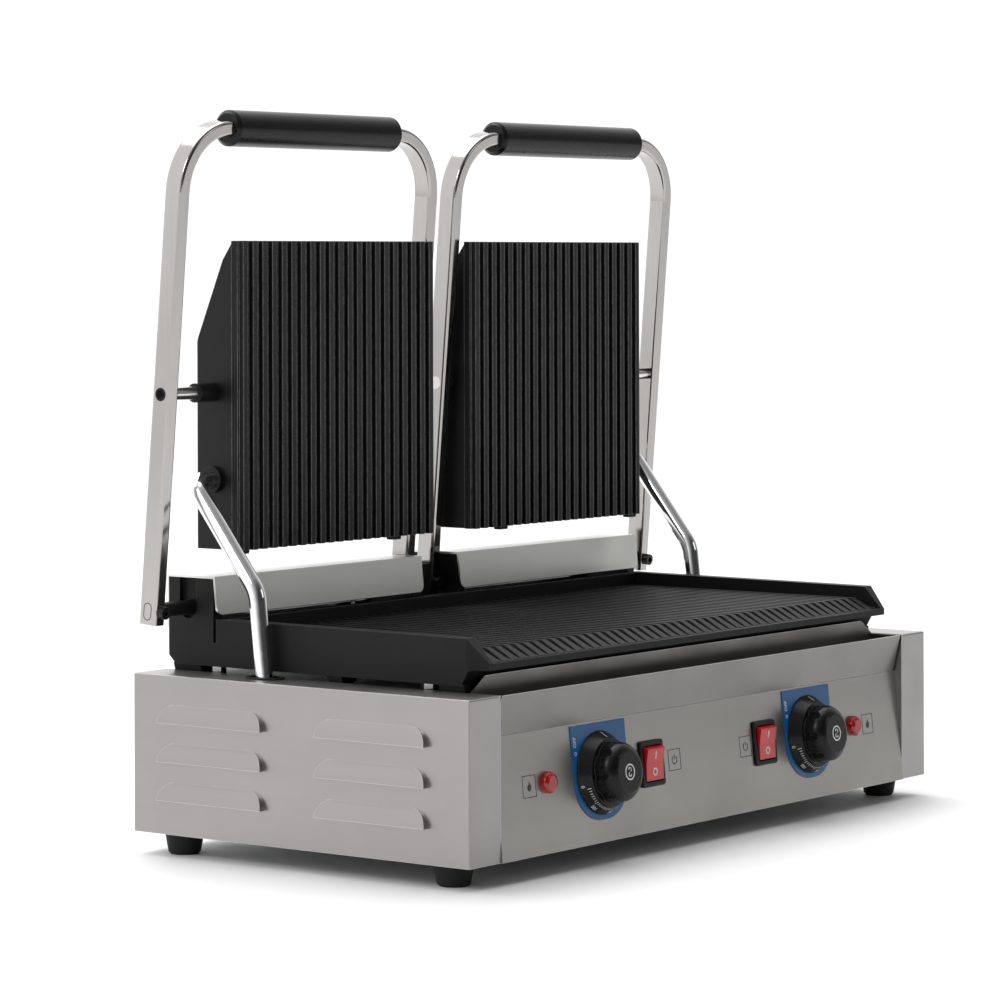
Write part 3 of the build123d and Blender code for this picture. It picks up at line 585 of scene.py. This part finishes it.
# Knob print: ticks and small numbers on the sloping skirt, an index line, a ring on the face.
# Places along the skirt run from its foot (0) to its top (1), angles are in degrees from upright.
knobPrint = {
    "skirtFoot": 0.0012,
    "skirtTop": 0.0092,
    "footRadius": 0.02775,
    "topRadius": 0.0225,
    "lift": 0.00008,
    "thick": 0.00012,
    "numbers": {"0": 105.0, "100": 145.0, "200": 185.0, "300": 225.0},
    "numberSize": 0.0036,
    "numberThick": 0.00005,
    "numberAlong": 0.28,
    "ticks": 25,
    "tickStart": 110.0,
    "tickEnd": 225.0,
    "longEvery": 6,
    "longTick": {"along": 0.66, "length": 0.0030},
    "shortTick": {"along": 0.70, "length": 0.0020},
    "tickWide": 0.0004,
    "tickThick": 0.0001,
    "index": {"along": 0.5, "wide": 0.0006, "length": 0.0060},
    "faceOut": 0.024,
    "ring": (0.0054, 0.0045),
    "arc": (0.0017, 0.0010),
    "arcUp": 0.0015,
    "arcSweep": 240.0,
    "arcSteps": 20,
}
rise = knobPrint["skirtTop"] - knobPrint["skirtFoot"]
spread = knobPrint["footRadius"] - knobPrint["topRadius"]
slant = hypot(rise, spread)


def skirtPlace(x, angle, along):
    # a place on the cone of the skirt, upright for a reader who stands outside it
    radial = Vector((sin(angle), cos(angle), 0))
    upward = (radial * spread - Vector((0, 0, rise))) / slant
    normal = (radial * rise + Vector((0, 0, spread))) / slant
    across = upward.cross(normal)
    radius = knobPrint["footRadius"] - spread * along
    height = Vector((0, 0, knobPrint["skirtFoot"] + rise * along))
    spot = radial * radius + height + normal * knobPrint["lift"]
    turn = Matrix((across, upward, normal)).transposed().to_4x4()
    return panelPlace(x) @ Matrix.Translation(spot) @ turn


for side in sides:
    x = sideX(side, "knobs")
    bm = bmesh.new()
    for word, angle in knobPrint["numbers"].items():
        place = skirtPlace(x, -radians(angle), knobPrint["numberAlong"])
        gather(bm, wordMesh(word, knobPrint["numberSize"], knobPrint["numberThick"]), place)
    for i in range(knobPrint["ticks"]):
        share = i / (knobPrint["ticks"] - 1)
        angle = knobPrint["tickStart"] + (knobPrint["tickEnd"] - knobPrint["tickStart"]) * share
        tick = knobPrint["shortTick" if i % knobPrint["longEvery"] else "longTick"]
        place = skirtPlace(x, -radians(angle), tick["along"])
        addSlab(bm, place, knobPrint["tickWide"], tick["length"], knobPrint["tickThick"])
    index = knobPrint["index"]
    addSlab(bm, skirtPlace(x, 0.0, index["along"]), index["wide"], index["length"], knobPrint["thick"])
    face = panelPlace(x, 0, knobPrint["faceOut"])
    addRing(bm, face, *knobPrint["ring"], knobPrint["thick"])
    for way, start in ((1, -60), (-1, 120)):
        place = face @ Matrix.Translation((0, way * knobPrint["arcUp"], 0))
        addRing(bm, place, *knobPrint["arc"], knobPrint["thick"], radians(start),
                radians(knobPrint["arcSweep"]), knobPrint["arcSteps"])
    mesh = finishMesh(bm, "knobPrint")
    addPiece("knobPrint_" + side, mesh, finishes["whitePrint"], side + "_knob")

# Word and dot on the blue plates, beside the knobs
plateWord = {
    "size": 0.0042,
    "thick": 0.00004,
    "across": -0.0270,
    "up": 0.0225,
    "out": 0.00063,
    "dot": (0.0012, 0.0008),
    "dotDown": -0.0075,
    "dotThick": 0.00008,
}
for side in sides:
    bm = bmesh.new()
    x = sideX(side, "knobs") + plateWord["across"]
    place = panelPlace(x, plateWord["up"], plateWord["out"])
    word = wordMesh("OFF", plateWord["size"], plateWord["thick"])
    gather(bm, word, place @ Matrix.Rotation(radians(90), 4, "Z"))
    below = place @ Matrix.Translation((0, plateWord["dotDown"], 0))
    addRing(bm, below, *plateWord["dot"], plateWord["dotThick"])
    mesh = finishMesh(bm, "plateWord")
    addPiece("plateWord_" + side, mesh, finishes["whitePrint"], "housing")
print("knob print done")

# Panel icons in thin square frames: a flame beside each lamp, a power sign beside each switch
icon = {
    "frame": 0.0140,
    "line": 0.00045,
    "thick": 0.00008,
    "up": -0.0004,
    "out": 0.00003,
    "flameX": (-0.2125, 0.2035),
    "flameSize": 0.0068,
    "powerX": (-0.0465, 0.0412),
    "powerSize": 0.0062,
    "powerLine": 1.4,  # times the frame's line
    "powerGap": 76.0,
    "strokeUp": 0.6,  # share of the sign's radius
}
# the flame in halves of its size, clockwise from its tip
flameOutline = [
    (0.0, 1.0), (0.22, 0.62), (0.16, 0.30), (0.42, 0.48), (0.62, 0.05), (0.60, -0.40),
    (0.34, -0.82), (0.0, -0.95), (-0.36, -0.82), (-0.62, -0.42), (-0.58, 0.02), (-0.34, 0.30),
    (-0.28, 0.02), (-0.12, 0.42),
]


def addFrame(bm, place):
    for way, turn in ((1, 0), (-1, 0), (1, 90), (-1, 90)):
        aside = Matrix.Translation((0, way * icon["frame"] / 2, icon["thick"] / 2))
        bar = place @ Matrix.Rotation(radians(turn), 4, "Z") @ aside
        addSlab(bm, bar, icon["frame"] + icon["line"], icon["line"], icon["thick"])


def addIcon(bm, name, place):
    addFrame(bm, place)
    mesh = finishMesh(bm, name)
    addPiece(name, mesh, finishes["darkPrint"], "housing")


for side, x in zip(sides, icon["flameX"]):
    bm = bmesh.new()
    half = icon["flameSize"] / 2
    ring = [bm.verts.new((across * half, up * half, 0)) for across, up in flameOutline]
    thicken(bm, [bm.faces.new(ring)], (0, 0, icon["thick"]))
    place = panelPlace(x, icon["up"], icon["out"])
    bmesh.ops.transform(bm, matrix=place, verts=bm.verts)
    addIcon(bm, "flameIcon_" + side, place)
for side, x in zip(sides, icon["powerX"]):
    bm = bmesh.new()
    place = panelPlace(x, icon["up"], icon["out"])
    outer = icon["powerSize"] / 2
    line = icon["powerLine"] * icon["line"]
    start = radians(90 + icon["powerGap"] / 2)
    addRing(bm, place, outer, outer - line, icon["thick"], start, radians(360 - icon["powerGap"]))
    stroke = place @ Matrix.Translation((0, outer * icon["strokeUp"], icon["thick"] / 2))
    addSlab(bm, stroke, line, outer, icon["thick"])
    addIcon(bm, "powerIcon_" + side, place)
print("icons done")

# Handle marks: the tenon's outline at the hinge, and a cap in the bore of the plate pin
armMark = {
    "outer": 0.2890,
    "lean": 4.8,
    "hinge": (0.122, 0.165),
    "tenonLong": 0.012,
    "tenonWide": 0.007,
    "line": 0.0006,
    "thick": 0.00006,
    "bowSteps": 16,
    "pin": 0.1465,
    "capRadius": 0.0034,
    "capDepth": 0.0046,
    "capThick": 0.0004,
    "rimRadius": 0.0046,
    "rimThick": 0.00008,
    "segments": 40,
}
armLean = radians(armMark["lean"])
armAlong = Vector((0, -sin(armLean), cos(armLean)))
for side, way in zip(sides, (-1, 1)):
    outwards = Vector((way, 0, 0))
    turn = Matrix((armAlong.cross(outwards), armAlong, outwards)).transposed().to_4x4()
    foot = Vector((way * armMark["outer"], *armMark["hinge"]))
    place = Matrix.Translation(foot) @ turn
    radius = armMark["tenonWide"] / 2
    straight = armMark["tenonLong"] / 2 - radius
    bm = bmesh.new()
    for end, start in ((1, 0), (-1, 180)):
        bow = place @ Matrix.Translation((0, end * straight, 0))
        addRing(bm, bow, radius, radius - armMark["line"], armMark["thick"], radians(start), pi,
                armMark["bowSteps"])
    for edge in (1, -1):
        aside = Vector((edge * (radius - armMark["line"] / 2), 0, armMark["thick"] / 2))
        addSlab(bm, place @ Matrix.Translation(aside), armMark["line"], 2 * straight, armMark["thick"])
    mesh = finishMesh(bm, "tenonLine")
    addPiece("tenonLine_" + side, mesh, finishes["darkPrint"], side + "_arm")
    bm = bmesh.new()
    bore = foot + armAlong * armMark["pin"] - outwards * armMark["capDepth"]
    pin = Matrix.Translation(bore) @ turn
    bmesh.ops.create_circle(bm, cap_ends=True, segments=armMark["segments"],
                            radius=armMark["capRadius"], matrix=pin)
    thicken(bm, bm.faces[:], outwards * armMark["capThick"])
    rim = pin @ Matrix.Translation((0, 0, armMark["capDepth"]))
    addRing(bm, rim, armMark["rimRadius"], armMark["capRadius"], armMark["rimThick"],
            steps=armMark["segments"])
    mesh = finishMesh(bm, "pinCap")
    addPiece("pinCap_" + side, mesh, finishes["shaftBlack"], side + "_arm")
print("handle marks done")

# Rocker signs: a bar on the upper half, a ring on the lower. The rocker's face stands at high,
# middle and low above its axis, at the reach above it, on it and at the reach below it.
rockerSign = {
    "axis": -0.001,
    "high": 0.0072,
    "middle": 0.0044,
    "low": 0.0036,
    "reach": 0.0119,
    "centre": 0.0056,
    "lift": 0.00004,
    "bar": (0.0012, 0.0052, 0.00012),
    "ring": (0.0027, 0.0017, 0.00008),
}
for side in sides:
    x = sideX(side, "switches")
    bm = bmesh.new()
    for way, edge, add, size in ((1, "high", addSlab, "bar"), (-1, "low", addRing, "ring")):
        slope = (rockerSign[edge] - rockerSign["middle"]) / (rockerSign["reach"] * way)
        up = rockerSign["centre"] * way
        out = rockerSign["axis"] + rockerSign["middle"] + slope * up + rockerSign["lift"]
        place = panelPlace(x, up, out) @ Matrix.Rotation(slope, 4, "X")  # so small a slope is its angle
        add(bm, place, *rockerSign[size])
    mesh = finishMesh(bm, "rockerSign")
    addPiece("rockerSign_" + side, mesh, finishes["whitePrint"], side + "_rocker")
print("rocker signs done")

# Floor: plain white paper
floor = {"size": 60.0, "low": (0.83, 0.83, 0.83), "high": (0.85, 0.85, 0.85), "grain": 60.0}
bm = bmesh.new()
bmesh.ops.create_grid(bm, x_segments=1, y_segments=1, size=floor["size"] / 2)
floorMesh = bpy.data.meshes.new("floor")
bm.to_mesh(floorMesh)
bm.free()
floorPiece = bpy.data.objects.new("floor", floorMesh)
bpy.context.scene.collection.objects.link(floorPiece)
paper = Finish("floorPaper")
paperGrain = paper.noise(floor["grain"], detail=3.0)
paper.feed(
    Base_Color=paper.blend(paperGrain, floor["low"], floor["high"]),
    Roughness=paper.range(paperGrain, 0.3, 0.7, 0.55, 0.65),
)
floorMesh.materials.append(paper.material)

# Studio: dark in front of the grill and bright behind it, with a plain bright wall in view
studio = {
    "front": -0.9,
    "behind": 0.5,
    "dark": 0.05,
    "bright": 1.35,
    "wall": 1.15,
    "colour": (0.955, 0.9575, 0.9575, 1.0),
}
world = bpy.data.worlds.new("studio")
bpy.context.scene.world = world
world.use_nodes = True
backdrop = next(n for n in world.node_tree.nodes if n.type == "BACKGROUND")
backdrop.inputs["Color"].default_value = studio["colour"]
sky = Link(world.node_tree, backdrop.outputs[0])
heading = sky.add("ShaderNodeSeparateXYZ", output=1, Vector=sky.add("ShaderNodeTexCoord"))
glow = sky.add("ShaderNodeMapRange", {"interpolation_type": "SMOOTHSTEP"}, i0=heading,
               i1=studio["front"], i2=studio["behind"], i3=studio["dark"], i4=studio["bright"])
seen = sky.add("ShaderNodeLightPath")
strength = glow * (1.0 - seen) + seen * studio["wall"]
world.node_tree.links.new(strength.socket, backdrop.inputs["Strength"])

lamps = {
    "keyLight": {"at": (-3.2, -0.2, 2.6), "size": 1.2, "power": 26.0},
    "fillLight": {"at": (1.6, -2.8, 1.5), "size": 1.0, "power": 5.0},
    "topLight": {"at": (0.6, 1.4, 3.4), "size": 2.2, "power": 40.0},
}
aim = Vector((0, 0, 0.2))
for name, lamp in lamps.items():
    light = bpy.data.lights.new(name, "AREA")
    light.shape = "SQUARE"
    light.size = lamp["size"]
    light.energy = lamp["power"]
    holder = bpy.data.objects.new(name, light)
    holder.location = lamp["at"]
    holder.rotation_euler = (aim - holder.location).to_track_quat("-Z", "Y").to_euler()
    bpy.context.scene.collection.objects.link(holder)

skyLight = {"strength": 1.3, "spread": 60.0, "tilt": (-12.0, 8.0, 0.0)}
light = bpy.data.lights.new("skyLight", "SUN")
light.energy = skyLight["strength"]
light.angle = radians(skyLight["spread"])
holder = bpy.data.objects.new("skyLight", light)
holder.rotation_euler = [radians(angle) for angle in skyLight["tilt"]]
bpy.context.scene.collection.objects.link(holder)

# Camera at the photograph's viewing angle
view = {
    "at": (-2.2047, -1.6188, 0.3988),
    "turn": (90.0, 0.16, -53.0),
    "lens": 138.2,
    "sensor": 36.0,
    "shift": -0.2376,
    "reach": 100.0,
}
cameraData = bpy.data.cameras.new("camera")
cameraData.sensor_width = view["sensor"]
cameraData.lens = view["lens"]
cameraData.shift_y = view["shift"]
cameraData.clip_end = view["reach"]
camera = bpy.data.objects.new("camera", cameraData)
camera.location = view["at"]
camera.rotation_euler = [radians(angle) for angle in view["turn"]]
bpy.context.scene.collection.objects.link(camera)
bpy.context.scene.camera = camera
bpy.context.scene.view_settings.view_transform = "Standard"
print("studio done")
